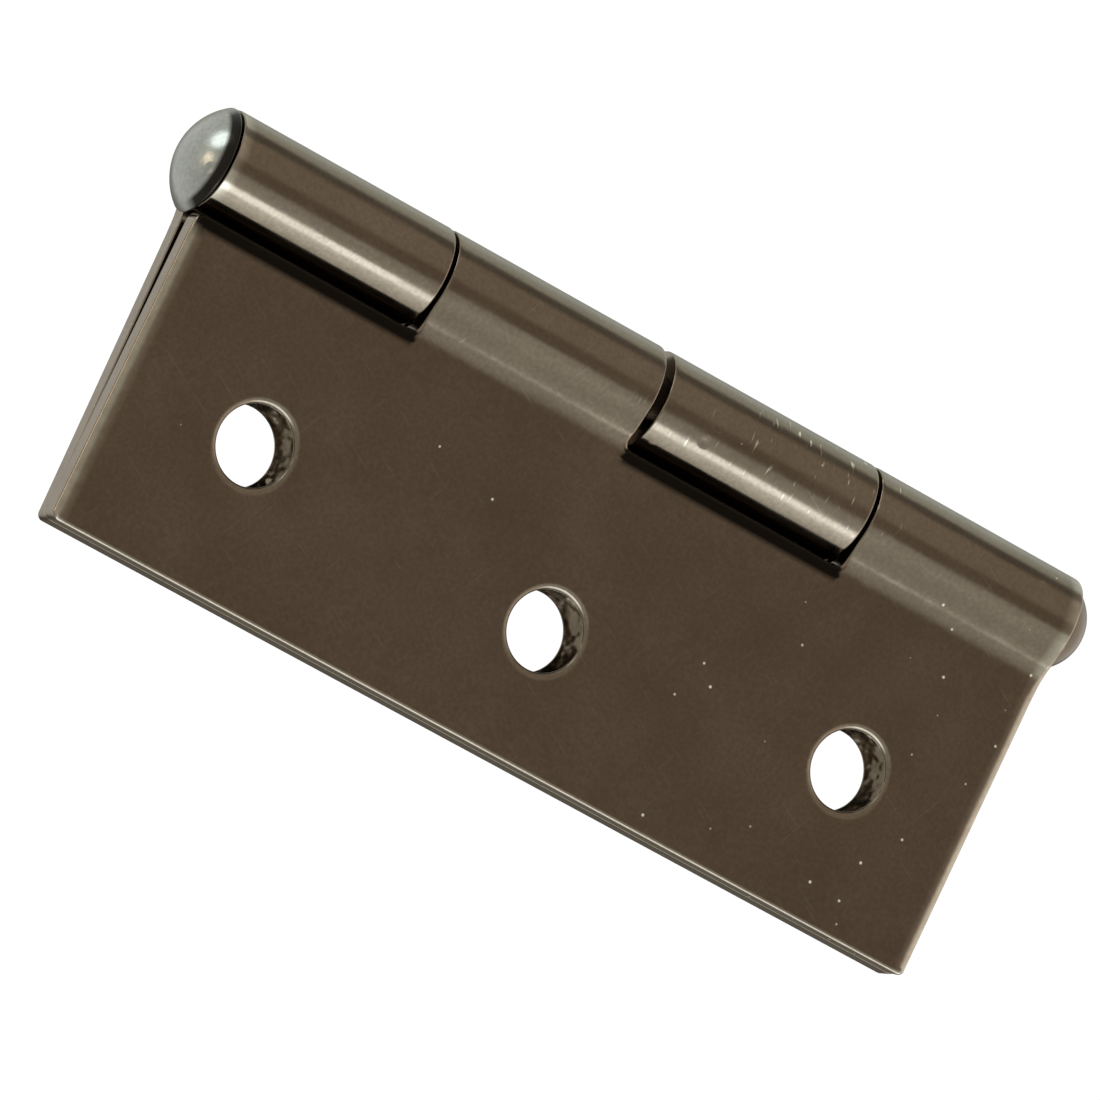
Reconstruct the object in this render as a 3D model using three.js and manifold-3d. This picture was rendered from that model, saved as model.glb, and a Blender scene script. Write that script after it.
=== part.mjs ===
// Narrow pressed-steel butt hinge, 50 mm long and 38 mm wide when open flat.
// Two leaves of one blank, one turned round, are joined by a pin riveted over at its tail.
// Millimetres, +Z up along the pin towards its domed head. The origin is the middle of the closed hinge's box.
// -Y is the side of the jamb leaf's seating face, and the free edges point to -X.

import * as THREE from 'three';
import { mergeVertices } from 'three/addons/utils/BufferGeometryUtils.js';
import Module from 'manifold-3d';

const wasm = await Module();
wasm.setup();

// Leaf blank and barrel
const LEAF_LENGTH = 50;
const SHEET = 1.2;
const BARREL_RADIUS = 2.6;
const FREE_EDGE = 18.9; // pin axis to the leaf's free edge
const PIN_X = (FREE_EDGE - BARREL_RADIUS) / 2;

// Seating face: its height over the parting plane beside the barrel and at the free edge
const SEAT_AT_BARREL = 1.72;
const SEAT_AT_EDGE = 1.26;
const SEAT_FALL = (SEAT_AT_BARREL - SEAT_AT_EDGE) / (FREE_EDGE - BARREL_RADIUS);
const RAMP_ANGLE = 21.5; // slope of the straight ramp that runs off the barrel, in degrees
const SWAGE_RADIUS = 2.8; // hollow bend between the ramp and the seating face
const SEAM_ANGLE = 6; // where the curled strip ends, in degrees from the leaf
const CORNER_RADIUS = 0.4;

// Knuckles, counted from the head: the leaf carries the second and the fourth
const END_KNUCKLE = 12.42; // the end knuckles are a little shorter than the two inner ones
const KNUCKLE_GAP = 0.37;
const END_PLAY = 0.15; // the door leaf sits this much nearer the tail
const NOTCH_DEPTH = 2.9; // pin axis to the bottom of the notch that clears the other leaf's knuckle

// Screw holes, countersunk from the face that the screws go in
const HOLE_DIAMETER = 4;
const COUNTERSINK_DIAMETER = 5.9;
const COUNTERSINK_DEPTH = 0.95;
const HOLE_PITCH = 17.5;
const HOLE_ROW = 11.3; // pin axis to the end holes
const HOLE_STAGGER = 1.12; // the middle hole is this much nearer the free edge
const HOLE_SHIFT = -0.2; // the row sits this much nearer the tail on both leaves

// Pin
const PIN_RADIUS = 1.34;
const HEAD_RADIUS = 2.75;
const HEAD_HEIGHT = 1.55;
const HEAD_OFFSET = 0.2; // the struck head is this much out of line, towards the leaves
const TAIL_RADIUS = 2.24;
const TAIL_HEIGHT = 1.5;
const TAIL_LIFT = 0.05; // the riveted tail stands this far off the last knuckle

const ROUND_STEPS = 48;
const HOLE_STEPS = 40;
const DOME_STEPS = 10;
const BEND_STEPS = 5;
const OVERCUT = 1; // how far a cutter runs past what it cuts

function solid(geometry) {
  geometry.deleteAttribute('normal');
  geometry.deleteAttribute('uv');
  const merged = mergeVertices(geometry, 1e-5);
  return new wasm.Manifold(new wasm.Mesh({
    numProp: 3,
    vertProperties: new Float32Array(merged.attributes.position.array),
    triVerts: new Uint32Array(merged.index.array),
  }));
}

function geometryOf(manifold) {
  const mesh = manifold.getMesh();
  const geometry = new THREE.BufferGeometry();
  geometry.setAttribute('position', new THREE.BufferAttribute(mesh.vertProperties, 3));
  geometry.setIndex(new THREE.BufferAttribute(mesh.triVerts, 1));
  geometry.computeVertexNormals();
  return geometry;
}

function arcPoints(centre, radius, from, to, steps) {
  const points = [];
  for (let i = 0; i <= steps; i += 1) {
    const angle = from + (to - from) * i / steps;
    points.push(new THREE.Vector2(centre.x + radius * Math.cos(angle), centre.y + radius * Math.sin(angle)));
  }
  return points;
}

// Height of the seating face over the parting plane, at a distance from the pin axis.
function seatHeight(fromPin) {
  return SEAT_AT_EDGE + SEAT_FALL * (FREE_EDGE - fromPin);
}

// Centre of the hollow bend, which lies SWAGE_RADIUS off both the seating face and the ramp.
function bendCentre(lean, ramp) {
  const fromSeat = seatHeight(0) * Math.cos(lean) + SWAGE_RADIUS;
  const fromRamp = BARREL_RADIUS + SWAGE_RADIUS;
  const turn = Math.sin(ramp - lean);
  return new THREE.Vector2(
    (fromRamp * Math.cos(lean) - fromSeat * Math.cos(ramp)) / turn,
    (fromSeat * Math.sin(ramp) - fromRamp * Math.sin(lean)) / turn,
  );
}

// The sheet's section across the pin: x runs from the pin axis to the free edge, y out of the seating face.
// Both faces are a straight line, a bend about one centre, a straight ramp and a curl about the pin, so the
// sheet keeps its thickness all the way.
function sheetSection() {
  const lean = Math.atan(SEAT_FALL);
  const ramp = THREE.MathUtils.degToRad(RAMP_ANGLE);
  const bend = bendCentre(lean, ramp);
  const pin = new THREE.Vector2(0, 0);
  const down = -Math.PI / 2;
  const leaves = Math.PI / 2 - ramp;
  const seam = 2 * Math.PI + THREE.MathUtils.degToRad(SEAM_ANGLE);
  const outside = [
    new THREE.Vector2(FREE_EDGE, SEAT_AT_EDGE),
    ...arcPoints(bend, SWAGE_RADIUS, down - lean, down - ramp, BEND_STEPS),
    ...arcPoints(pin, BARREL_RADIUS, leaves, seam, ROUND_STEPS),
  ];
  const inside = [
    new THREE.Vector2(FREE_EDGE, SEAT_AT_EDGE - SHEET / Math.cos(lean)),
    ...arcPoints(bend, SWAGE_RADIUS + SHEET, down - lean, down - ramp, BEND_STEPS),
    ...arcPoints(pin, BARREL_RADIUS - SHEET, leaves, seam, ROUND_STEPS),
  ];
  return [...outside, ...inside.reverse()];
}

function sheet() {
  const outline = sheetSection().map((p) => new THREE.Vector2(PIN_X - p.x, -p.y));
  const geometry = new THREE.ExtrudeGeometry(new THREE.Shape(outline), { depth: LEAF_LENGTH, bevelEnabled: false });
  return solid(geometry.translate(0, 0, -LEAF_LENGTH / 2));
}

// A rectangle in the leaf's plane, right through the sheet, with rounded corners.
function window(xLow, xHigh, zLow, zHigh) {
  const shape = new THREE.Shape();
  const r = CORNER_RADIUS;
  shape.moveTo(xLow + r, zLow);
  shape.lineTo(xHigh, zLow);
  shape.lineTo(xHigh, zHigh);
  shape.lineTo(xLow + r, zHigh);
  shape.absarc(xLow + r, zHigh - r, r, Math.PI / 2, Math.PI, false);
  shape.absarc(xLow + r, zLow + r, r, Math.PI, 1.5 * Math.PI, false);
  const depth = 2 * (BARREL_RADIUS + OVERCUT);
  const geometry = new THREE.ExtrudeGeometry(shape, { depth, bevelEnabled: false, curveSegments: 5 });
  return solid(geometry.rotateX(Math.PI / 2).translate(0, depth / 2, 0));
}

// The other leaf's knuckle turns in each notch: one at the head's end, one just below mid length.
function notches() {
  const half = LEAF_LENGTH / 2;
  const inner = half - END_KNUCKLE;
  const side = KNUCKLE_GAP / 2;
  const bottom = PIN_X - NOTCH_DEPTH;
  const open = PIN_X + BARREL_RADIUS + OVERCUT;
  return [
    window(bottom, open, inner - side, half + OVERCUT),
    window(bottom, open, -inner - side, side),
  ];
}

// The blank's outline, which rounds the two corners at the free edge.
function blank() {
  const half = LEAF_LENGTH / 2;
  return window(PIN_X - FREE_EDGE, PIN_X + BARREL_RADIUS + OVERCUT, -half, half);
}

// Drill and countersink in one tool, whose axis stands square to the parting plane.
function screwTool(fromPin, z) {
  const r = HOLE_DIAMETER / 2;
  const wide = COUNTERSINK_DIAMETER / 2;
  const innerFace = seatHeight(fromPin) - SHEET;
  const flare = (wide - r) / COUNTERSINK_DEPTH;
  const profile = [
    new THREE.Vector2(0, -OVERCUT),
    new THREE.Vector2(wide + flare * OVERCUT, -OVERCUT),
    new THREE.Vector2(r, COUNTERSINK_DEPTH),
    new THREE.Vector2(r, SHEET + OVERCUT),
    new THREE.Vector2(0, SHEET + OVERCUT),
  ];
  const geometry = new THREE.LatheGeometry(profile, HOLE_STEPS);
  return solid(geometry.rotateX(Math.PI).translate(PIN_X - fromPin, -innerFace, z));
}

// The row of holes is moved along the leaf, to opposite sides on the two leaves, so that it lines up closed.
function leaf(holeShift) {
  let body = sheet().intersect(blank());
  for (const notch of notches()) {
    body = body.subtract(notch);
  }
  for (const step of [-1, 0, 1]) {
    const row = HOLE_ROW + (step === 0 ? HOLE_STAGGER : 0);
    body = body.subtract(screwTool(row, holeShift + step * HOLE_PITCH));
  }
  return geometryOf(body);
}

// A spherical cap with its flat side down.
function dome(radius, height) {
  const ball = (radius * radius + height * height) / (2 * height);
  const edge = Math.asin(radius / ball);
  const profile = [new THREE.Vector2(0, 0)];
  for (let i = 0; i < DOME_STEPS; i += 1) {
    const angle = edge * (1 - i / DOME_STEPS);
    profile.push(new THREE.Vector2(ball * Math.sin(angle), height - ball + ball * Math.cos(angle)));
  }
  profile.push(new THREE.Vector2(0, height));
  return new THREE.LatheGeometry(profile, ROUND_STEPS);
}

function pin() {
  const top = LEAF_LENGTH / 2;
  const bottom = -LEAF_LENGTH / 2 - TAIL_LIFT;
  const root = 0.3; // how far the shank runs into each head
  const length = top - bottom + 2 * root;
  const shank = new THREE.CylinderGeometry(PIN_RADIUS, PIN_RADIUS, length, ROUND_STEPS);
  shank.rotateX(Math.PI / 2).translate(PIN_X, 0, (top + bottom) / 2);
  const head = dome(HEAD_RADIUS, HEAD_HEIGHT);
  head.rotateX(Math.PI / 2).translate(PIN_X - HEAD_OFFSET, 0, top);
  const tail = dome(TAIL_RADIUS, TAIL_HEIGHT);
  tail.rotateX(-Math.PI / 2).translate(PIN_X, 0, bottom);
  return geometryOf(solid(shank).add(solid(head)).add(solid(tail)));
}

function platedSteel(colour, roughness) {
  return new THREE.MeshStandardMaterial({ color: colour, metalness: 1, roughness });
}

function piece(name, geometry, material) {
  const mesh = new THREE.Mesh(geometry, material);
  mesh.name = name;
  return mesh;
}

const jambLeaf = piece('jamb_leaf', leaf(HOLE_SHIFT), platedSteel('#7c6e5e', 0.2));
const doorLeaf = piece('door_leaf', leaf(-HOLE_SHIFT), platedSteel('#7c6e5e', 0.2));
const pivotPin = piece('pivot_pin', pin(), platedSteel('#a5a6a0', 0.25));

const turnedRound = new THREE.Group();
turnedRound.rotation.x = Math.PI;
turnedRound.position.z = -END_PLAY;
turnedRound.add(doorLeaf);

const hinge = new THREE.Group();
hinge.add(jambLeaf, turnedRound, pivotPin);

export default hinge;
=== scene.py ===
import math

import bpy
import numpy as np
from mathutils import Euler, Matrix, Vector, geometry


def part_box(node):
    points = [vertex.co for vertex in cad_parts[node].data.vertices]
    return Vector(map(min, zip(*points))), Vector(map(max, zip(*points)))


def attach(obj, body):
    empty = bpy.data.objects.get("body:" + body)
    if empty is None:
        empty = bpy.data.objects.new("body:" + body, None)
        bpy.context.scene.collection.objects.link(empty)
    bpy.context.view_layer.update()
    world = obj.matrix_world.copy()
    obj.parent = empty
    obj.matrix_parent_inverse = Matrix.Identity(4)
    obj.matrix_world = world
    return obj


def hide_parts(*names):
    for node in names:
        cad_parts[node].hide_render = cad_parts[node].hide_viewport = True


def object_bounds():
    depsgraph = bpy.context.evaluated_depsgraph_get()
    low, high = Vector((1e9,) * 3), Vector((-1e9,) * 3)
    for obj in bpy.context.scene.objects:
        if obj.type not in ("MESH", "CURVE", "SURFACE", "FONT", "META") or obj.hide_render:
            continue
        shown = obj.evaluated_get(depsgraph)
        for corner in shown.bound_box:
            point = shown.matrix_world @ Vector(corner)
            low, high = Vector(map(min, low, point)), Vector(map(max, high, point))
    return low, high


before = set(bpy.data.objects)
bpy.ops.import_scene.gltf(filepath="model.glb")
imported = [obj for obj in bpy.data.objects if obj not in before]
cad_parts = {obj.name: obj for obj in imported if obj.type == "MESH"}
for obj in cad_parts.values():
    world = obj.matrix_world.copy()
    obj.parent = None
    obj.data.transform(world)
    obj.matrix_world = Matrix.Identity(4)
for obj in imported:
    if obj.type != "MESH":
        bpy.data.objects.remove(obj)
cad_low, cad_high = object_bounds()
scene = bpy.context.scene


# ---- The two leaves ----
# Each leaf is one stamping of 1.2 mm cold-rolled steel: a flat plate with three screw holes, and two fingers
# that climb a short ramp and curl into knuckles. It is blanked, pierced, countersunk, curled and barrel
# plated, so that every punched edge on its outer face is rolled over and bright.

MM = 0.001
leaf_low, leaf_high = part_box("jamb_leaf")
HALF_LENGTH = leaf_high.z
BARREL_RADIUS = 2.6 * MM
PIN_X = leaf_high.x - BARREL_RADIUS
FREE_EDGE = PIN_X - leaf_low.x
SHEET = 1.2 * MM
# The outer face's distance from the plane between the leaves, beside the barrel and at the free edge.
SEAT_AT_BARREL = 1.72 * MM
SEAT_AT_EDGE = 1.26 * MM
LEAN = math.atan((SEAT_AT_BARREL - SEAT_AT_EDGE) / (FREE_EDGE - BARREL_RADIUS))
RAMP = math.radians(21.5)
SWAGE_RADIUS = 2.8 * MM
SEAM = math.radians(6)
END_PLAY = 0.15 * MM
END_KNUCKLE = 12.42 * MM
GAP = 0.37 * MM
NOTCH = 2.9 * MM
CORNER = 0.4 * MM
# Widths of the rolled edges: on the plate's ends, on the knuckles, and the burr side's on both.
PLATE_ROLL = 0.62 * MM
CURL_ROLL = 0.14 * MM
BURR_EDGE = 0.08 * MM
HOLE_RADIUS = 2.0 * MM
HOLE_ROLL = 0.42 * MM
COUNTERSINK_RADIUS = 2.95 * MM
COUNTERSINK_DEPTH = 0.95 * MM
HOLE_ROW = 11.3 * MM
HOLE_STAGGER = 1.12 * MM
HOLE_PITCH = 17.5 * MM
HOLE_SHIFT = -0.2 * MM
SEGMENTS = 72
# Distances of the rings from the edge. They crowd together where a rolled edge is steepest.
INSETS = np.array([0.95, 0.8, 0.62, 0.5, 0.38, 0.27, 0.18, 0.11, 0.06, 0.025, 0.006, 0]) * MM


def across_pin(angle):
    """Unit vector at an angle from the outward normal, turned towards the free edge."""
    return np.stack([np.sin(angle), np.cos(angle)], -1)


seat_offset = SEAT_AT_EDGE * math.cos(LEAN) + FREE_EDGE * math.sin(LEAN) + SWAGE_RADIUS
barrel_offset = BARREL_RADIUS + SWAGE_RADIUS
SWAGE_CENTRE = np.linalg.solve(np.array([across_pin(LEAN), across_pin(RAMP)]), [seat_offset, barrel_offset])
EDGE_POINT = np.array([FREE_EDGE, SEAT_AT_EDGE])
# Lengths along the sheet's outer face, from the free edge to where each part of its section ends.
PLATE_END = np.linalg.norm(SWAGE_CENTRE - SWAGE_RADIUS * across_pin(LEAN) - EDGE_POINT)
BEND_END = PLATE_END + SWAGE_RADIUS * (RAMP - LEAN)
RAMP_END = BEND_END + np.linalg.norm(barrel_offset * across_pin(RAMP) - SWAGE_CENTRE)
CURL_END = RAMP_END + BARREL_RADIUS * (1.5 * math.pi + SEAM + RAMP)
NOTCH_LINE = (FREE_EDGE - NOTCH) / math.cos(LEAN)
INNER = HALF_LENGTH - END_KNUCKLE
# Heights of the blank's steps: its ends, and the sides of its fingers and notches.
LEVELS = np.array([-HALF_LENGTH, -INNER - GAP / 2, GAP / 2, INNER - GAP / 2, HALF_LENGTH])


def sheet_section(s):
    """Point, outward normal and tangent of the sheet's outer face, at distance s from the free edge.

    The angle of the normal is the lean on the plate, grows by s / SWAGE_RADIUS in the hollow bend, stays at
    the ramp's slope, then falls by s / BARREL_RADIUS round the pin. The point is the free edge plus the run
    along the plate, the bend's centre less its radius, the ramp's foot plus the run, and the pin plus the
    radius.
    """
    bend = np.clip(s - PLATE_END, 0, BEND_END - PLATE_END) / SWAGE_RADIUS
    angle = LEAN + bend - np.clip(s - RAMP_END, 0, None) / BARREL_RADIUS
    normal = across_pin(angle)
    tangent = across_pin(angle - math.pi / 2)
    on_plate = EDGE_POINT + s[..., None] * tangent
    in_bend = SWAGE_CENTRE - SWAGE_RADIUS * normal
    on_ramp = SWAGE_CENTRE - SWAGE_RADIUS * across_pin(RAMP) + (s - BEND_END)[..., None] * tangent
    round_pin = BARREL_RADIUS * normal
    zone = np.digitize(s, [PLATE_END, BEND_END, RAMP_END])[..., None]
    return np.choose(zone, [on_plate, in_bend, on_ramp, round_pin]), normal, tangent


def blank_outline(inset, rows):
    """The blank's outline in the flat, moved into the metal by inset, with its outward normals.

    Walked from the tail, with the metal on the left. A corner's arc has its centre on the two runs'
    offset by the corner radius; an outer corner's radius shrinks by the inset, an inner corner's grows.
    Runs along the fingers carry a point at each of the rows, so that they can be curled.
    """
    corners = np.column_stack([
        [0, CURL_END, CURL_END, NOTCH_LINE, NOTCH_LINE, CURL_END, CURL_END, NOTCH_LINE, NOTCH_LINE, 0],
        LEVELS[[0, 0, 1, 1, 2, 2, 3, 3, 4, 4]],
    ])
    runs = np.roll(corners, -1, 0) - corners
    runs /= np.linalg.norm(runs, axis=1)[:, None]
    points, normals = [], []
    quarter = np.linspace(0, math.pi / 2, 8)[:, None]
    for i, corner in enumerate(corners):
        before, after = runs[i - 1], runs[i]
        side = np.sign(before[0] * after[1] - before[1] * after[0])
        reach = CORNER if side < 0 else max(CORNER, inset + 0.01 * MM)
        out = np.cos(quarter) * [before[1], -before[0]] + np.sin(quarter) * [after[1], -after[0]]
        arc = corner + reach * (after - before) + side * (reach - side * inset) * out
        points.append(arc)
        normals.append(out)
        if abs(after[0]) > 0.5:
            low, high = sorted((corner[0], corners[(i + 1) % len(corners)][0]))
            run = rows[(rows > low + CORNER + 0.05 * MM) & (rows < high - 1.05 * INSETS[0])]
            run = run[:: int(after[0])]
            points.append(np.stack([run, np.full_like(run, arc[-1, 1])], 1))
            normals.append(np.tile([after[1], -after[0]], (len(run), 1)))
    return np.concatenate(points), np.concatenate(normals)


def rolled_edge(inset, width):
    """Depth and slope of a rolled edge at an inset: a quarter ellipse half as deep as it is wide.

    With x the part of the width still to go to the edge, the depth is half the width times
    1 - sqrt(1 - x^2), and the slope is the angle of its derivative.
    """
    x = np.clip(1 - inset / width, 0, 1)
    return 0.5 * width * (1 - np.sqrt(1 - x**2)), np.arctan2(0.5 * x, np.sqrt(1 - x**2))


def outer_edge(rows):
    """Rings of the blank's edge: points, outward normals, depth, slope and distance from the edge.

    The rolled edge comes first, as wide as PLATE_ROLL on the plate's ends and as CURL_ROLL on the fingers,
    and less by 0.6 times the outward normal's part along s. Then come the quarter circle of the burr side
    and a last ring on the inner face.
    """
    low = np.linspace(math.pi / 2, math.pi, 5)
    burr = BURR_EDGE * (1 - np.sin(low))
    under = SHEET - BURR_EDGE * (1 + np.cos(low))
    rings = []
    for inset in INSETS:
        flat, out = blank_outline(inset, rows)
        foot_of_curl = [NOTCH_LINE - 0.8 * MM, NOTCH_LINE + 1.0 * MM]
        width = np.interp(flat[:, 0], foot_of_curl, [PLATE_ROLL, CURL_ROLL])
        width *= 1 - 0.6 * np.abs(out[:, 0])
        rings.append((flat, out, *rolled_edge(inset, width), np.full(len(flat), inset)))
    for inset, depth, slope in zip([*burr, INSETS[0]], [*under, SHEET], [*low, math.pi]):
        flat, out = blank_outline(inset, rows)
        rings.append((flat, out, *[np.full(len(flat), value) for value in (depth, slope, inset)]))
    return [np.stack(part) for part in zip(*rings)]


def screw_hole(centre):
    """Rings of a hole, as for the outer edge: rolled mouth, short throat and 90 degree countersink."""
    turn = np.linspace(0, 2 * math.pi, SEGMENTS, endpoint=False)
    circle = np.stack([np.cos(turn), np.sin(turn)], 1)
    depth, slope = rolled_edge(INSETS, HOLE_ROLL)
    throat, flare = SHEET - COUNTERSINK_DEPTH, math.radians(135)
    throat_radius = HOLE_RADIUS + np.array([0, 0.02]) * MM
    sink_radius = COUNTERSINK_RADIUS + np.array([-0.03 * MM, 0.02 * MM, INSETS[0]])
    radius = np.concatenate([HOLE_RADIUS + INSETS, throat_radius, sink_radius])
    under = [throat - 0.02 * MM, throat + 0.02 * MM, SHEET - 0.03 * MM, SHEET, SHEET]
    depth = np.concatenate([depth, under])
    slope = np.concatenate([slope, [math.pi / 2, flare, flare, math.pi, math.pi]])
    distance = np.concatenate([INSETS, np.zeros(4), INSETS[:1]])
    flat = centre + radius[:, None, None] * circle
    spread = [np.repeat(value[:, None], len(turn), 1) for value in (depth, slope, distance)]
    return [flat, np.broadcast_to(-circle, flat.shape), *spread]


def fill(loops, holes, inner):
    """Triangles between an outline, the holes' loops and loose points, as indices into all of them."""
    points = np.concatenate([*loops, inner])
    starts = np.cumsum([0] + [len(loop) for loop in loops])
    edges = [
        (start + i, start + (i + 1) % len(loop))
        for loop, start in zip(loops, starts)
        for i in range(len(loop))
    ]
    made = geometry.delaunay_2d_cdt([Vector(p) for p in points / MM], edges, [], 1, 1e-6)
    source = np.array([origin[0] for origin in made[3]])
    triangles = source[np.array(made[2])]
    middle = points[triangles].mean(1)
    reach = np.linalg.norm(loops[1][0] - holes[0])
    inside = np.linalg.norm(middle[:, None] - holes[None], axis=2) < 0.998 * reach
    return triangles[~inside.any(1)]


def leaf_surface(hole_shift):
    """A whole leaf in the flat: points (s, z, depth), normals, distance from the edge, and faces."""
    rows = np.concatenate([
        [NOTCH_LINE - 1.6 * MM, NOTCH_LINE - 1.1 * MM],
        np.linspace(PLATE_END, BEND_END, 13),
        np.linspace(BEND_END, RAMP_END, 15)[1:],
        np.linspace(RAMP_END, CURL_END, 121)[1:],
    ])
    steps = np.array([-1, 0, 1])
    along = (FREE_EDGE - HOLE_ROW - HOLE_STAGGER * (steps == 0)) / math.cos(LEAN)
    centres = np.column_stack([along, hole_shift + steps * HOLE_PITCH])
    points, normals, distances, faces, tops, bottoms, start = [], [], [], [], [], [], 0
    for flat, out, depth, slope, distance in [outer_edge(rows), *[screw_hole(centre) for centre in centres]]:
        points.append(np.dstack([flat, depth]).reshape(-1, 3))
        normals.append(np.dstack([np.sin(slope)[..., None] * out, np.cos(slope)]).reshape(-1, 3))
        distances.append(distance.ravel())
        index = start + np.arange(depth.size).reshape(depth.shape)
        after = np.roll(index, -1, 1)
        faces += np.stack([index[:-1], after[:-1], after[1:], index[1:]], -1).reshape(-1, 4).tolist()
        tops.append(index[0])
        bottoms.append(index[-1])
        start += depth.size
    columns = np.concatenate([np.linspace(*LEVELS[:2], 9)[1:-1], np.linspace(*LEVELS[2:4], 9)[1:-1]])
    inner_rows = rows[rows < CURL_END - 1.1 * INSETS[0]]
    grid = np.stack(np.meshgrid(inner_rows, columns, indexing="ij"), -1).reshape(-1, 2)
    for loops, face_depth, face_normal in ((tops, 0, 1), (bottoms, SHEET, -1)):
        every = np.concatenate(points)
        triangles = fill([every[loop][:, :2] for loop in loops], centres, grid)
        lookup = np.concatenate([*loops, start + np.arange(len(grid))])
        faces += lookup[triangles].tolist()
        points.append(np.column_stack([grid, np.full(len(grid), face_depth)]))
        normals.append(np.tile([0, 0, face_normal], (len(grid), 1)))
        distances.append(np.full(len(grid), INSETS[0]))
        start += len(grid)
    return np.concatenate(points), np.concatenate(normals), np.concatenate(distances), faces


def curled(flat, normals):
    """Points and normals of the flat leaf carried onto the sheet's section: the face's point less depth
    times its normal, and the normal's three parts laid along the tangent, the pin and the face's normal.

    The press leaves a faint hollow, a crest and a soft toe across the ramp. They are 0.01 mm deep, so only
    the normals lean, by a few degrees times exp(-(distance / width)^2) from each one's middle.
    """
    point, out, tangent = sheet_section(flat[:, 0])
    across = point - flat[:, 2:] * out
    lean = np.zeros(len(flat))
    for middle, width, degrees in ((1.6, 0.4, -7.0), (2.2, 0.16, 3.0), (3.05, 0.28, 3.5)):
        lean += math.radians(degrees) * np.exp(-(((point[:, 0] / MM - middle) / width) ** 2))
    lean = (lean * (flat[:, 0] < RAMP_END + 0.3 * MM))[:, None]
    out, tangent = np.cos(lean) * out - np.sin(lean) * tangent, np.cos(lean) * tangent + np.sin(lean) * out
    turned = normals[:, :1] * tangent + normals[:, 2:] * out
    place = np.column_stack([PIN_X - across[:, 0], -across[:, 1], flat[:, 1]])
    return place, np.column_stack([-turned[:, 0], -turned[:, 1], normals[:, 1]])


def outward(points, normals, faces):
    """The faces with their corners put in the order that makes each one face the way its normals point."""
    kept = []
    for size in (3, 4):
        group = np.array([f for f in faces if len(f) == size]).reshape(-1, size)
        first, second, third = (points[group[:, i]] for i in range(3))
        across = np.cross(second - first, third - first)
        wrong = (across * normals[group].sum(1)).sum(1) < 0
        group[wrong] = group[wrong][:, ::-1]
        kept += group.tolist()
    return kept


def build(name, points, normals, faces, material):
    """A smooth mesh object with exact normals, standing at the origin."""
    mesh = bpy.data.meshes.new(name)
    mesh.from_pydata(points, [], outward(points, normals, faces))
    mesh.polygons.foreach_set("use_smooth", np.ones(len(mesh.polygons), bool))
    mesh.normals_split_custom_set_from_vertices(normals)
    mesh.materials.append(material)
    piece = bpy.data.objects.new(name, mesh)
    scene.collection.objects.link(piece)
    return piece


def mark(piece, name, values):
    """A number kept at every point of a mesh, for its material to read."""
    piece.data.attributes.new(name, "FLOAT", "POINT").data.foreach_set("value", values)


def linear(code):
    """Linear RGBA of an sRGB hex colour."""
    value = np.array([int(code[i : i + 2], 16) for i in (0, 2, 4)]) / 255
    low = value / 12.92
    high = ((value + 0.055) / 1.055) ** 2.4
    return (*np.where(value <= 0.04045, low, high), 1.0)


def add(tree, kind, links=None, **settings):
    """A shader node with its settings, and its inputs set to values or linked from other sockets."""
    made = tree.nodes.new(kind)
    for key, value in settings.items():
        setattr(made, key, value)
    for key, value in (links or {}).items():
        if isinstance(value, bpy.types.NodeSocket):
            tree.links.new(value, made.inputs[key])
        else:
            made.inputs[key].default_value = value
    return made


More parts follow.
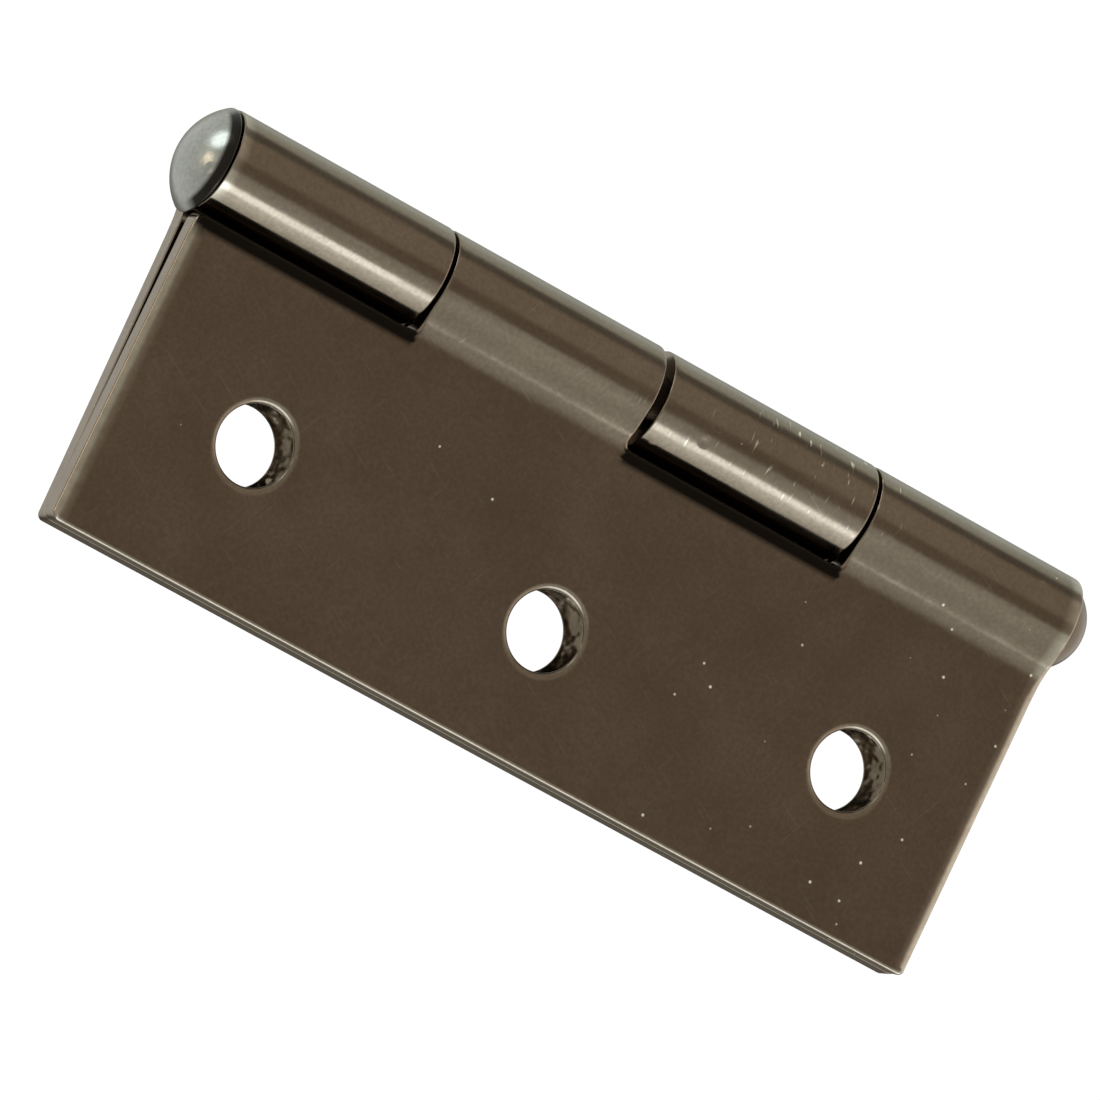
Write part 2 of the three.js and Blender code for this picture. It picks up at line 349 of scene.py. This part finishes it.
def handled_plate(name, colour, roughness, dents):
    """A material with bright plating that has been tumbled and handled, and its tree, shader and place.

    Its colour drifts over 4 mm and is mottled at 0.2 mm by the grain of the steel under it. The gloss is
    smeared in patches. The surface rolls by 0.02 mm over 2.5 mm, with 0.002 mm of orange peel on top, so
    that reflected lines waver. Scratches are 0.05 mm wide and 3 mm long, in two directions. Dents are round
    knocks 0.04 mm deep, at places given in mm from the origin, that fade out at 0.4 mm.
    """
    material = bpy.data.materials.new(name)
    material.use_nodes = True
    tree = material.node_tree
    tree.nodes.clear()
    place = add(tree, "ShaderNodeTexCoord").outputs["Object"]
    drift = add(tree, "ShaderNodeTexNoise", {"Vector": place, "Scale": 1 / (4 * MM), "Detail": 3.0})
    drift = add(tree, "ShaderNodeMapRange", {0: drift.outputs[0], 1: 0.3, 2: 0.7, 3: 0.93, 4: 1.06})
    mottle = add(tree, "ShaderNodeTexNoise", {"Vector": place, "Scale": 1 / (0.2 * MM), "Detail": 2.0})
    mottle = add(tree, "ShaderNodeMapRange", {0: mottle.outputs[0], 1: 0.3, 2: 0.7, 3: 0.9, 4: 1.1})
    tone = add(tree, "ShaderNodeMath", {0: drift.outputs[0], 1: mottle.outputs[0]}, operation="MULTIPLY")
    shade = {0: linear(colour)[:3], "Scale": tone.outputs[0]}
    plate = add(tree, "ShaderNodeVectorMath", shade, operation="SCALE")
    scratches = None
    for turn in (0.5, -1.1):
        along = add(tree, "ShaderNodeMapping", {
            "Vector": place, "Rotation": (0, turn, 0), "Scale": (0.05 * MM, 2 * MM, 3 * MM),
        }, vector_type="TEXTURE")
        streak = add(tree, "ShaderNodeTexNoise", {"Vector": along.outputs[0], "Scale": 1.0, "Detail": 1.0})
        streak = add(tree, "ShaderNodeMapRange", {0: streak.outputs[0], 1: 0.72, 2: 0.8}).outputs[0]
        if scratches:
            streak = add(tree, "ShaderNodeMath", {0: scratches, 1: streak}, operation="MAXIMUM").outputs[0]
        scratches = streak
    scratched = add(tree, "ShaderNodeMix", {
        0: add(tree, "ShaderNodeMath", {0: scratches, 1: 0.22}, operation="MULTIPLY").outputs[0],
        6: plate.outputs[0], 7: linear("b9b3a6"),
    }, data_type="RGBA")
    smears = add(tree, "ShaderNodeTexNoise", {"Vector": place, "Scale": 1 / (3 * MM), "Detail": 4.0})
    gloss = add(tree, "ShaderNodeMapRange", {
        0: smears.outputs[0], 1: 0.3, 2: 0.7, 3: 0.8 * roughness, 4: 1.4 * roughness,
    })
    rolling = add(tree, "ShaderNodeTexNoise", {"Vector": place, "Scale": 1 / (2.5 * MM), "Detail": 0.0})
    rolling = add(tree, "ShaderNodeBump", {
        "Height": rolling.outputs[0], "Distance": 0.02 * MM, "Strength": 1.0,
    })
    peel = add(tree, "ShaderNodeTexNoise", {"Vector": place, "Scale": 1 / (0.45 * MM), "Detail": 1.0})
    peel = add(tree, "ShaderNodeBump", {
        "Height": peel.outputs[0], "Distance": 0.002 * MM, "Strength": 1.0, "Normal": rolling.outputs[0],
    })
    cuts = add(tree, "ShaderNodeBump", {
        "Height": scratches, "Distance": 0.001 * MM, "Strength": 1.0, "Normal": peel.outputs[0],
    }, invert=True)
    surface = cuts.outputs[0]
    for dent in dents:
        away = add(tree, "ShaderNodeVectorMath", {0: place, 1: np.array(dent) * MM}, operation="DISTANCE")
        rise = add(tree, "ShaderNodeMapRange", {
            0: away.outputs["Value"], 2: 0.4 * MM,
        }, interpolation_type="SMOOTHSTEP")
        knock = {"Height": rise.outputs[0], "Distance": 0.04 * MM, "Strength": 1.0, "Normal": surface}
        surface = add(tree, "ShaderNodeBump", knock).outputs[0]
    shader = add(tree, "ShaderNodeBsdfPrincipled", {
        "Base Color": scratched.outputs[2], "Metallic": 1.0, "Roughness": gloss.outputs[0],
        "Normal": surface,
    })
    add(tree, "ShaderNodeOutputMaterial", {"Surface": shader.outputs[0]})
    return material, tree, shader, place


# Warm grey nickel over rolled steel. To the eye it is a brown-grey mirror, a little smeared, with pale
# edges and ends that are partly rubbed plating and partly a painted highlight, painted black shade in the
# notches, torn metal in the holes' throats, a few knocks on the barrel, and pale grit and short nicks, most
# of them towards the tail.
KNOCKS = [(6.0, -1.9, -0.9), (9.2, -2.4, -22.6), (7.3, -2.4, -3.1)]
leaf_plating, tree, shader, place = handled_plate("warm_nickel_plate", "7c6e5e", 0.16, KNOCKS)
parts = add(tree, "ShaderNodeSeparateXYZ", {0: place})
tailwards = add(tree, "ShaderNodeMapRange", {
    0: parts.outputs[2], 1: 0.1 * HALF_LENGTH, 2: -0.8 * HALF_LENGTH,
})
# Painted highlight, partly rubbed plating too: within 0.15 mm of every edge, and on the outer face near both
# ends, the colour is mixed towards pale b3a896 to stand for the bright lines that light draws on rolled
# edges.
edge = add(tree, "ShaderNodeAttribute", attribute_name="edge_distance").outputs["Fac"]
rub = add(tree, "ShaderNodeTexNoise", {"Vector": place, "Scale": 1 / (0.5 * MM), "Detail": 2.0})
rubbed_and_highlit = add(tree, "ShaderNodeMapRange", {0: edge, 1: 0.15 * MM, 2: 0.0, 3: 0.0, 4: 0.2})
from_middle = add(tree, "ShaderNodeMath", {0: parts.outputs[2]}, operation="ABSOLUTE")
ends = add(tree, "ShaderNodeMapRange", {
    0: from_middle.outputs[0], 1: HALF_LENGTH - 0.8 * MM, 2: HALF_LENGTH - 0.1 * MM,
})
on_face = add(tree, "ShaderNodeMapRange", {0: edge, 1: 0.0, 2: 0.1 * MM})
ends = add(tree, "ShaderNodeMath", {0: ends.outputs[0], 1: on_face.outputs[0]}, operation="MULTIPLY")
rubbed_and_highlit = add(tree, "ShaderNodeMath", {0: rubbed_and_highlit.outputs[0], 1: ends.outputs[0]}, operation="MAXIMUM")
burnish_and_highlight = add(tree, "ShaderNodeMath", {0: 0.4, 1: rub.outputs[0]}, operation="ADD")
burnish_and_highlight = add(tree, "ShaderNodeMath", {
    0: burnish_and_highlight.outputs[0], 1: rubbed_and_highlit.outputs[0],
}, operation="MULTIPLY", use_clamp=True)
bright = add(tree, "ShaderNodeMix", {
    0: burnish_and_highlight.outputs[0], 6: shader.inputs["Base Color"].links[0].from_socket, 7: linear("b3a896"),
}, data_type="RGBA")
grit_spots = add(tree, "ShaderNodeTexVoronoi", {"Vector": place, "Scale": 1 / (1.0 * MM)})
grit_size = add(tree, "ShaderNodeSeparateColor", {0: grit_spots.outputs["Color"]})
grit_rare = add(tree, "ShaderNodeMapRange", {0: tailwards.outputs[0], 3: 0.05, 4: 0.35})
grit_kept = add(tree, "ShaderNodeMath", {
    0: grit_size.outputs[0], 1: grit_rare.outputs[0],
}, operation="LESS_THAN")
grit_dot = add(tree, "ShaderNodeMapRange", {0: grit_spots.outputs["Distance"], 1: 0.1, 2: 0.05})
grit = add(tree, "ShaderNodeMath", {0: grit_dot.outputs[0], 1: grit_kept.outputs[0]}, operation="MULTIPLY")
across = add(tree, "ShaderNodeMapping", {
    "Vector": place, "Scale": (1 / (0.8 * MM), 1 / (0.8 * MM), 1 / (0.14 * MM)),
})
nick = add(tree, "ShaderNodeTexNoise", {"Vector": across.outputs[0], "Scale": 1.0, "Detail": 0.0})
nick = add(tree, "ShaderNodeMapRange", {0: nick.outputs[0], 1: 0.74, 2: 0.84})
barrel_only = add(tree, "ShaderNodeMapRange", {
    0: parts.outputs[0], 1: PIN_X - 0.6 * BARREL_RADIUS, 2: PIN_X - 0.4 * BARREL_RADIUS,
})
nick = add(tree, "ShaderNodeMath", {0: nick.outputs[0], 1: barrel_only.outputs[0]}, operation="MULTIPLY")
third_knuckle = add(tree, "ShaderNodeMapRange", {0: parts.outputs[2], 1: LEVELS[1] - 2 * MM, 2: LEVELS[1]})
nick = add(tree, "ShaderNodeMath", {0: nick.outputs[0], 1: third_knuckle.outputs[0]}, operation="MULTIPLY")
nick = add(tree, "ShaderNodeMath", {0: nick.outputs[0], 1: tailwards.outputs[0]}, operation="MULTIPLY")
nick = add(tree, "ShaderNodeMath", {0: nick.outputs[0], 1: 2.0}, operation="MULTIPLY", use_clamp=True)
marks = add(tree, "ShaderNodeMath", {0: grit.outputs[0], 1: nick.outputs[0]}, operation="MAXIMUM")
marked = add(tree, "ShaderNodeMix", {
    0: marks.outputs[0], 6: bright.outputs[2], 7: linear("d8cfb8"),
}, data_type="RGBA")
# Painted shade: the outer face beside the notches is mixed to near black 24211d.
notch_shade = add(tree, "ShaderNodeAttribute", attribute_name="notch_shade").outputs["Fac"]
notch_shaded = add(tree, "ShaderNodeMix", {0: notch_shade, 6: marked.outputs[2], 7: linear("24211d")}, data_type="RGBA")
metal = add(tree, "ShaderNodeMath", {0: 1.0, 1: grit.outputs[0]}, operation="SUBTRACT")
throat = add(tree, "ShaderNodeAttribute", attribute_name="throat").outputs["Fac"]
tearing = add(tree, "ShaderNodeTexNoise", {"Vector": place, "Scale": 1 / (0.6 * MM), "Detail": 1.0})
tearing = add(tree, "ShaderNodeMath", {0: tearing.outputs[0], 1: throat}, operation="MULTIPLY")
torn = add(tree, "ShaderNodeBump", {
    "Height": tearing.outputs[0], "Distance": 0.08 * MM, "Strength": 1.0,
    "Normal": shader.inputs["Normal"].links[0].from_socket,
})
tree.links.new(torn.outputs[0], shader.inputs["Normal"])
tree.links.new(notch_shaded.outputs[2], shader.inputs["Base Color"])
tree.links.new(metal.outputs[0], shader.inputs["Metallic"])

for name, node, body, shift, turned_round, play in (
    ("jamb_leaf_plate", "jamb_leaf", "jamb_side", HOLE_SHIFT, np.array([1, 1, 1]), 0),
    ("door_leaf_plate", "door_leaf", "door_side", -HOLE_SHIFT, np.array([1, -1, -1]), END_PLAY),
):
    flat, normals, distance, faces = leaf_surface(shift)
    points, facing = curled(flat, normals)
    leaf = build(name, points * turned_round - [0, 0, play], facing * turned_round, faces, leaf_plating)
    mark(leaf, "edge_distance", distance)
    s, z = flat[:, 0], flat[:, 1]
    # Painted shade: the outer face is mixed to near black up to 0.8 mm from the foot of each notch, where
    # the gap between the leaves lies in shade.
    in_notch = (((z > LEVELS[1]) & (z < LEVELS[2])) | (z > LEVELS[3])) & (s < NOTCH_LINE + BURR_EDGE)
    spread = np.clip((0.8 * MM - (NOTCH_LINE - s)) / (0.3 * MM), 0, 1)
    mark(leaf, "notch_shade", in_notch * (flat[:, 2] < 0.1 * MM) * spread)
    # The only punched edges that are away from the blank's outline are in the holes.
    off_outline = (s > CORNER) & (s < NOTCH_LINE - CORNER) & (np.abs(z) < HALF_LENGTH - CORNER)
    mark(leaf, "throat", ((distance == 0) & off_outline).astype(float))
    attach(leaf, body)
    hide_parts(node)


# ---- The pin ----
# One length of 2.7 mm drawn steel wire, plated. Its domed head is struck on one end. The other end is beaten
# over the last knuckle once the leaves are threaded on, so that the pin can't be drawn out.

PIN_RADIUS = 1.34 * MM
HEAD_RADIUS = 2.75 * MM
HEAD_HEIGHT = 1.55 * MM
HEAD_OFFSET = 0.2 * MM
TAIL_RADIUS = 2.24 * MM
TAIL_HEIGHT = 1.5 * MM
TAIL_LIFT = 0.05 * MM


def dome_profile(radius, height, edge):
    """Radius, height and normal's tilt of a ball cap, from its crown to its rolled rim and underside.

    The ball stands height over the underside and its rim, a circle of the edge's radius, touches the ball
    inside and the cylinder of the cap's radius outside.
    """
    inner = radius - edge
    ball = (inner**2 + (height - edge) ** 2 - edge**2) / (2 * (height - 2 * edge))
    reach = math.asin(inner / (ball - edge))
    cap = np.linspace(0, reach, 17)
    rim = np.linspace(reach, math.pi, 7)[1:]
    crown = np.stack([ball * np.sin(cap), height - ball * (1 - np.cos(cap))], 1)
    roll = np.stack([inner + edge * np.sin(rim), edge + edge * np.cos(rim)], 1)
    return np.concatenate([crown, roll]), np.concatenate([cap, rim])


def revolve(profile, tilt, shift):
    """A profile carried round the pin: x = shift + r cos a, y = r sin a, z as given. A pole is one point."""
    turn = np.linspace(0, 2 * math.pi, SEGMENTS, endpoint=False)
    ring = np.stack([np.cos(turn), np.sin(turn)], 1)
    body, lean = profile[1:-1], tilt[1:-1]
    xy = body[:, None, :1] * ring + np.stack([PIN_X + shift[1:-1], 0 * shift[1:-1]], 1)[:, None]
    z = np.broadcast_to(body[:, None, 1:], (*xy.shape[:2], 1))
    points = np.concatenate([xy, z], 2).reshape(-1, 3)
    upward = np.broadcast_to(np.cos(lean)[:, None, None], (len(lean), SEGMENTS, 1))
    normals = np.concatenate([np.sin(lean)[:, None, None] * ring, upward], 2).reshape(-1, 3)
    index = np.arange(len(points)).reshape(len(body), SEGMENTS)
    after = np.roll(index, -1, 1)
    faces = np.stack([index[:-1], after[:-1], after[1:], index[1:]], -1).reshape(-1, 4).tolist()
    top, bottom = len(points), len(points) + 1
    faces += np.stack([index[0], after[0], np.full(SEGMENTS, top)], -1).tolist()
    faces += np.stack([index[-1], after[-1], np.full(SEGMENTS, bottom)], -1).tolist()
    poles = [[PIN_X + shift[i], 0, profile[i, 1]] for i in (0, -1)]
    return np.concatenate([points, poles]), np.concatenate([normals, [[0, 0, 1], [0, 0, -1]]]), faces


head, head_tilt = dome_profile(HEAD_RADIUS, HEAD_HEIGHT, 0.1 * MM)
tail, tail_tilt = dome_profile(TAIL_RADIUS, TAIL_HEIGHT, 0.1 * MM)
head[:, 1] += HALF_LENGTH
tail[:, 1] = -HALF_LENGTH - TAIL_LIFT - tail[:, 1]
shank = np.array([
    [PIN_RADIUS + 0.02 * MM, HALF_LENGTH], [PIN_RADIUS, HALF_LENGTH - 0.02 * MM],
    [PIN_RADIUS, -HALF_LENGTH - TAIL_LIFT + 0.02 * MM], [PIN_RADIUS + 0.02 * MM, -HALF_LENGTH - TAIL_LIFT],
])
profile = np.concatenate([head, shank, tail[::-1]])
tilt = np.concatenate([head_tilt, [math.pi, math.pi / 2, math.pi / 2, 0], math.pi - tail_tilt[::-1]])
shift = np.zeros(len(profile))
shift[: len(head)] = -HEAD_OFFSET

# Cool grey nickel over drawn wire, struck bright at the head. To the eye it is paler than the leaves, and
# soft in its reflections, with a painted dark shadow under the front of the head's rim. Towards the tail its
# colour turns a darker brown.
pin_plating, tree, shader, place = handled_plate("cool_nickel_plate", "a5a6a0", 0.24, [(7.2, -2.3, 25.75)])
parts = add(tree, "ShaderNodeSeparateXYZ", {0: place})
# Painted shadow: the front of the head's underside and rim is mixed to dark 2e2b27, for the shade in the gap
# above the first knuckle.
foot = add(tree, "ShaderNodeMapRange", {
    0: parts.outputs[2], 1: HALF_LENGTH + 0.58 * MM, 2: HALF_LENGTH + 0.42 * MM,
})
front = add(tree, "ShaderNodeMapRange", {0: parts.outputs[1], 1: -0.5 * MM, 2: -1.3 * MM})
painted_head_shadow = add(tree, "ShaderNodeMath", {0: foot.outputs[0], 1: front.outputs[0]}, operation="MULTIPLY")
head_shadowed = add(tree, "ShaderNodeMix", {
    0: painted_head_shadow.outputs[0], 6: shader.inputs["Base Color"].links[0].from_socket, 7: linear("2e2b27"),
}, data_type="RGBA")
# From the pin's middle to its tail, its colour is mixed towards brown 6a6052.
tail_end = add(tree, "ShaderNodeMapRange", {
    0: parts.outputs[2], 1: 0.5 * HALF_LENGTH, 2: -0.5 * HALF_LENGTH,
})
browned_tail = add(tree, "ShaderNodeMix", {
    0: tail_end.outputs[0], 6: head_shadowed.outputs[2], 7: linear("6a6052"),
}, data_type="RGBA")
tree.links.new(browned_tail.outputs[2], shader.inputs["Base Color"])
pin = build("pivot_pin_wire", *revolve(profile, tilt, shift), pin_plating)
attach(pin, "jamb_side")
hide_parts("pivot_pin")


# ---- Floor ----
# Plain white paper, lit until it has no shadow or texture. It is kept out of the hinge's reflections, where
# the studio's own paper stands in for it.

floor_level = cad_low.z
floor_mesh = bpy.data.meshes.new("floor")
side = 6.0
floor_mesh.from_pydata([
    (-side, -side, floor_level), (side, -side, floor_level),
    (side, side, floor_level), (-side, side, floor_level),
], [], [(0, 1, 2, 3)])
floor = bpy.data.objects.new("floor", floor_mesh)
scene.collection.objects.link(floor)
white = bpy.data.materials.new("white_paper")
white.use_nodes = True
white.node_tree.nodes.clear()
glow = add(white.node_tree, "ShaderNodeEmission", {"Color": (1, 1, 1, 1), "Strength": 1.05})
add(white.node_tree, "ShaderNodeOutputMaterial", {"Surface": glow.outputs[0]})
floor_mesh.materials.append(white)
floor.visible_glossy = False
floor.visible_diffuse = False
floor.visible_shadow = False


# ---- Studio light ----
# A plain room round the hinge: dim warm walls with pale panels standing in them, a soft grey ceiling that is
# lighter at the back, and pale paper below. Two round lamps hang above it, a cool one and a small warm one.
world = bpy.data.worlds.new("studio")
scene.world = world
world.use_nodes = True
tree = world.node_tree
tree.nodes.clear()
where = add(tree, "ShaderNodeTexCoord")
parts = add(tree, "ShaderNodeSeparateXYZ", {0: where.outputs["Generated"]})
minus_x = add(tree, "ShaderNodeMath", {0: parts.outputs[0], 1: -1.0}, operation="MULTIPLY")
minus_y = add(tree, "ShaderNodeMath", {0: parts.outputs[1], 1: -1.0}, operation="MULTIPLY")
azimuth = add(tree, "ShaderNodeMath", {0: minus_x.outputs[0], 1: minus_y.outputs[0]}, operation="ARCTAN2")
around = add(tree, "ShaderNodeMapRange", {0: azimuth.outputs[0], 1: -math.pi, 2: math.pi})
walls = add(tree, "ShaderNodeValToRGB", {0: around.outputs[0]})
# The brightest colour comes to less than 1 when it is divided by the strength, as a ramp needs.
STRENGTH = 6.0
# The walls' linear colours, each at an angle in degrees that runs from -Y towards -X.
panels = [
    (-180, (0.18, 0.16, 0.13)), (-150, (0.5, 0.5, 0.45)), (-128, (0.85, 0.95, 0.9)),
    (-98, (0.85, 0.95, 0.9)), (-90, (0.27, 0.26, 0.24)), (-75, (0.27, 0.26, 0.24)),
    (-66, (0.57, 0.53, 0.47)), (-20, (0.57, 0.53, 0.47)), (-12, (0.35, 0.31, 0.27)),
    (8, (0.35, 0.31, 0.27)), (14, (0.78, 0.84, 0.84)), (39, (0.9, 0.95, 0.95)),
    (43, (4.0, 4.7, 5.4)), (54, (4.0, 4.7, 5.4)), (58, (2.1, 2.4, 2.6)), (72, (1.7, 1.9, 2.0)),
    (92, (1.0, 1.1, 1.1)), (112, (0.25, 0.24, 0.2)), (127, (0.12, 0.11, 0.1)),
    (180, (0.18, 0.16, 0.13)),
]
stops = walls.color_ramp.elements
while len(stops) < len(panels):
    stops.new(0.5)
for stop, (angle, colour) in zip(stops, panels):
    stop.position = (angle + 180) / 360
    stop.color = (*[c / STRENGTH for c in colour], 1)
towards_back = add(tree, "ShaderNodeMapRange", {0: parts.outputs[1], 1: -0.3, 2: 0.9})
ceiling = add(tree, "ShaderNodeValToRGB", {0: towards_back.outputs[0]})
ceiling.color_ramp.elements[0].color = (0.55 / STRENGTH, 0.55 / STRENGTH, 0.51 / STRENGTH, 1)
ceiling.color_ramp.elements[1].color = (0.9 / STRENGTH, 0.92 / STRENGTH, 0.9 / STRENGTH, 1)
above = add(tree, "ShaderNodeMapRange", {
    0: parts.outputs[2], 1: 0.0, 2: 0.35,
}, interpolation_type="SMOOTHSTEP")
upper = add(tree, "ShaderNodeMix", {
    0: above.outputs[0], 6: walls.outputs[0], 7: ceiling.outputs[0],
}, data_type="RGBA")
below = add(tree, "ShaderNodeMapRange", {
    0: parts.outputs[2], 1: -0.6, 2: -0.9,
}, interpolation_type="SMOOTHSTEP")
paper = (1.2 / STRENGTH, 1.15 / STRENGTH, 1.1 / STRENGTH, 1)
room = add(tree, "ShaderNodeMix", {0: below.outputs[0], 6: upper.outputs[2], 7: paper}, data_type="RGBA")
sky = add(tree, "ShaderNodeBackground", {"Color": room.outputs[2], "Strength": STRENGTH})
add(tree, "ShaderNodeOutputWorld", {"Surface": sky.outputs[0]})


def softbox(name, direction, distance, size, watts, colour):
    """A round area lamp at a distance along a direction from the origin, facing back to it."""
    light = bpy.data.lights.new(name, "AREA")
    light.shape = "DISK"
    light.size = size
    light.energy = watts
    light.color = colour
    lamp = bpy.data.objects.new(name, light)
    scene.collection.objects.link(lamp)
    towards = Vector(direction).normalized()
    lamp.location = towards * distance
    lamp.rotation_euler = towards.to_track_quat("Z", "Y").to_euler()
    lamp.visible_camera = False


softbox("top_lamp", (0.54, -0.04, 0.84), 1.0, 0.5, 1.5, (0.9, 1.0, 1.0))
softbox("warm_lamp", (0.03, -0.08, 0.99), 1.0, 0.28, 0.42, (1.0, 0.82, 0.6))


# ---- Camera ----
# A long lens from the jamb leaf's outer side and a little above, rolled so that the pin climbs across the
# view.

AZIMUTH, ELEVATION, ROLL = math.radians(10.126), math.radians(23.038), math.radians(-61.146)
DISTANCE = 0.5714
camera_data = bpy.data.cameras.new("camera")
camera_data.sensor_width = 36
camera_data.lens = 391.7
camera_data.shift_x = -0.0159
camera_data.shift_y = -0.0016
camera_data.clip_start, camera_data.clip_end = 0.01, 20
camera = bpy.data.objects.new("camera", camera_data)
scene.collection.objects.link(camera)
turn = Euler((0, 0, -AZIMUTH)).to_quaternion() @ Euler((math.pi / 2 - ELEVATION, 0, 0)).to_quaternion()
camera.rotation_mode = "QUATERNION"
camera.rotation_quaternion = turn @ Euler((0, 0, ROLL)).to_quaternion()
camera.location = turn @ Vector((0, 0, DISTANCE))
scene.camera = camera
scene.view_settings.view_transform = "Standard"
